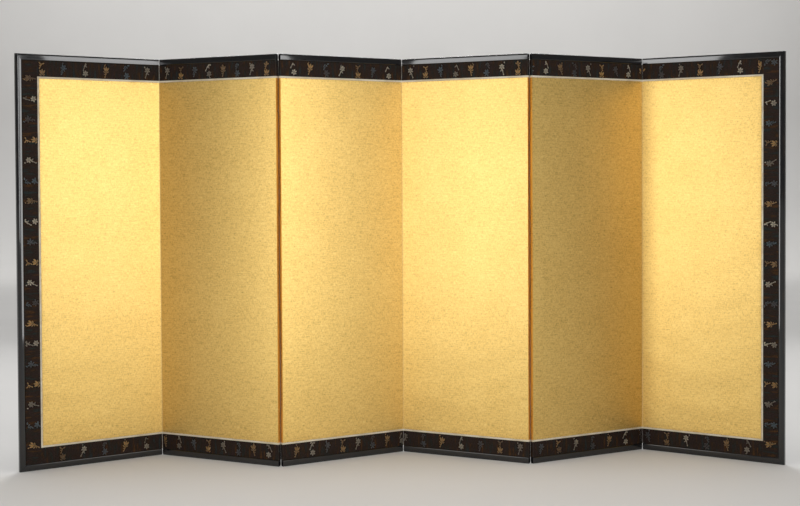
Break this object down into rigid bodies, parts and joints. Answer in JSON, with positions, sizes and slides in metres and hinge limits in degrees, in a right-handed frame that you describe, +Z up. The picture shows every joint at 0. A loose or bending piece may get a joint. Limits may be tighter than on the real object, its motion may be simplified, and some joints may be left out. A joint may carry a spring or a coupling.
{
  "type": "byobu folding screen",
  "caption": "Freestanding folding screen of hinged papered lattice panels, with a plain gold-leaf front, dark brocade borders and black lacquer rails.",
  "frame": {"origin": "on the floor, at the middle of the standing screen's outline", "axes": "+X along the zigzag from the left end panel to the right one, +Z up, and the gilded front faces -Y"},
  "size_m": [3.1773, 0.398, 1.72],
  "materials": {
    "black_lacquer": "polished black lacquer over wood",
    "gold_leaf": "gold leaf laid in squares on paper",
    "brocade": "dark silk brocade with small woven figures",
    "pale_silk": "pale gold silk strip",
    "back_paper": "block-printed paper, matt",
    "under_paper": "layers of mulberry paper",
    "hinge_paper": "strong paper, gilded where it shows",
    "cedar": "planed cedar"
  },
  "bodies": {
    "panel_1": {"panel_1_core_frame": "cedar", "panel_1_lattice": "cedar", "panel_1_underpapers": "under_paper", "panel_1_gold_ground": "gold_leaf", "panel_1_brocade_border": "brocade", "panel_1_inner_border": "pale_silk", "panel_1_back_cover": "back_paper", "panel_1_lacquer_rails": "black_lacquer", "panel_1_lacquer_stile": "black_lacquer"},
    "panel_2": {"panel_2_core_frame": "cedar", "panel_2_lattice": "cedar", "panel_2_underpapers": "under_paper", "panel_2_gold_ground": "gold_leaf", "panel_2_brocade_border": "brocade", "panel_2_inner_border": "pale_silk", "panel_2_back_cover": "back_paper", "panel_2_lacquer_rails": "black_lacquer"},
    "panel_3": {"panel_3_core_frame": "cedar", "panel_3_lattice": "cedar", "panel_3_underpapers": "under_paper", "panel_3_gold_ground": "gold_leaf", "panel_3_brocade_border": "brocade", "panel_3_inner_border": "pale_silk", "panel_3_back_cover": "back_paper", "panel_3_lacquer_rails": "black_lacquer"},
    "panel_4": {"panel_4_core_frame": "cedar", "panel_4_lattice": "cedar", "panel_4_underpapers": "under_paper", "panel_4_gold_ground": "gold_leaf", "panel_4_brocade_border": "brocade", "panel_4_inner_border": "pale_silk", "panel_4_back_cover": "back_paper", "panel_4_lacquer_rails": "black_lacquer"},
    "panel_5": {"panel_5_core_frame": "cedar", "panel_5_lattice": "cedar", "panel_5_underpapers": "under_paper", "panel_5_gold_ground": "gold_leaf", "panel_5_brocade_border": "brocade", "panel_5_inner_border": "pale_silk", "panel_5_back_cover": "back_paper", "panel_5_lacquer_rails": "black_lacquer"},
    "panel_6": {"panel_6_core_frame": "cedar", "panel_6_lattice": "cedar", "panel_6_underpapers": "under_paper", "panel_6_gold_ground": "gold_leaf", "panel_6_brocade_border": "brocade", "panel_6_inner_border": "pale_silk", "panel_6_back_cover": "back_paper", "panel_6_lacquer_rails": "black_lacquer", "panel_6_lacquer_stile": "black_lacquer"},
    "hinge_1_2_odd": {"hinge_1_2_odd_strips": "hinge_paper"},
    "hinge_1_2_even": {"hinge_1_2_even_strips": "hinge_paper"},
    "hinge_2_3_odd": {"hinge_2_3_odd_strips": "hinge_paper"},
    "hinge_2_3_even": {"hinge_2_3_even_strips": "hinge_paper"},
    "hinge_3_4_odd": {"hinge_3_4_odd_strips": "hinge_paper"},
    "hinge_3_4_even": {"hinge_3_4_even_strips": "hinge_paper"},
    "hinge_4_5_odd": {"hinge_4_5_odd_strips": "hinge_paper"},
    "hinge_4_5_even": {"hinge_4_5_even_strips": "hinge_paper"},
    "hinge_5_6_odd": {"hinge_5_6_odd_strips": "hinge_paper"},
    "hinge_5_6_even": {"hinge_5_6_even_strips": "hinge_paper"}
  },
  "joints": [
    {"name": "seam_1_2_front_fold", "type": "hinge", "parent": "panel_2", "child": "hinge_1_2_odd", "pos_m": [-1.047, 0.1641, 0.86], "axis": [0, 0, -1], "range_deg": [-116.3, 63.7]},
    {"name": "seam_1_2_back_fold", "type": "hinge", "parent": "hinge_1_2_odd", "child": "panel_1", "pos_m": [-1.05743, 0.17938, 0.86], "axis": [0, 0, -1], "range_deg": [0, 180]},
    {"name": "seam_1_2_even_strips", "type": "hinge", "parent": "panel_2", "child": "hinge_1_2_even", "pos_m": [-1.03792, 0.18022, 0.86], "axis": [0, 0, -1], "range_deg": [0, 180]},
    {"name": "seam_2_3_front_fold", "type": "hinge", "parent": "panel_3", "child": "hinge_2_3_odd", "pos_m": [-0.5055, -0.13008, 0.86], "axis": [0, 0, 1], "range_deg": [0, 174]},
    {"name": "seam_2_3_back_fold", "type": "hinge", "parent": "hinge_2_3_odd", "child": "panel_2", "pos_m": [-0.51519, -0.11432, 0.86], "axis": [0, 0, 1], "range_deg": [-119, 61]},
    {"name": "seam_2_3_even_strips", "type": "hinge", "parent": "panel_2", "child": "hinge_2_3_even", "pos_m": [-0.52428, -0.13044, 0.86], "axis": [0, 0, 1], "range_deg": [-174, 0]},
    {"name": "seam_3_4_front_fold", "type": "hinge", "parent": "panel_3", "child": "hinge_3_4_odd", "pos_m": [0.00554, 0.18431, 0.86], "axis": [0, 0, 1], "range_deg": [-118.1, 61.9]},
    {"name": "seam_3_4_back_fold", "type": "hinge", "parent": "hinge_3_4_odd", "child": "panel_4", "pos_m": [0.01487, 0.20028, 0.86], "axis": [0, 0, 1], "range_deg": [0, 180]},
    {"name": "seam_3_4_even_strips", "type": "hinge", "parent": "panel_3", "child": "hinge_3_4_even", "pos_m": [-0.00416, 0.20007, 0.86], "axis": [0, 0, 1], "range_deg": [0, 180]},
    {"name": "seam_4_5_front_fold", "type": "hinge", "parent": "panel_4", "child": "hinge_4_5_odd", "pos_m": [0.52357, -0.1184, 0.86], "axis": [0, 0, -1], "range_deg": [0, 174]},
    {"name": "seam_4_5_back_fold", "type": "hinge", "parent": "hinge_4_5_odd", "child": "panel_5", "pos_m": [0.53291, -0.10243, 0.86], "axis": [0, 0, -1], "range_deg": [-119.5, 60.5]},
    {"name": "seam_4_5_even_strips", "type": "hinge", "parent": "panel_5", "child": "hinge_4_5_even", "pos_m": [0.54221, -0.11842, 0.86], "axis": [0, 0, -1], "range_deg": [-174, 0]},
    {"name": "seam_5_6_front_fold", "type": "hinge", "parent": "panel_5", "child": "hinge_5_6_odd", "pos_m": [1.06078, 0.18339, 0.86], "axis": [0, 0, 1], "range_deg": [-113.3, 66.7]},
    {"name": "seam_5_6_back_fold", "type": "hinge", "parent": "hinge_5_6_odd", "child": "panel_6", "pos_m": [1.07178, 0.19826, 0.86], "axis": [0, 0, 1], "range_deg": [0, 180]},
    {"name": "seam_5_6_even_strips", "type": "hinge", "parent": "panel_5", "child": "hinge_5_6_even", "pos_m": [1.05147, 0.19938, 0.86], "axis": [0, 0, 1], "range_deg": [0, 180]}
  ],
  "couplings": [
    {"joint": "seam_1_2_even_strips", "follows": "seam_1_2_back_fold", "ratio": 1},
    {"joint": "seam_2_3_even_strips", "follows": "seam_2_3_front_fold", "ratio": -1},
    {"joint": "seam_3_4_even_strips", "follows": "seam_3_4_back_fold", "ratio": 1},
    {"joint": "seam_4_5_even_strips", "follows": "seam_4_5_front_fold", "ratio": -1},
    {"joint": "seam_5_6_even_strips", "follows": "seam_5_6_back_fold", "ratio": 1}
  ]
}
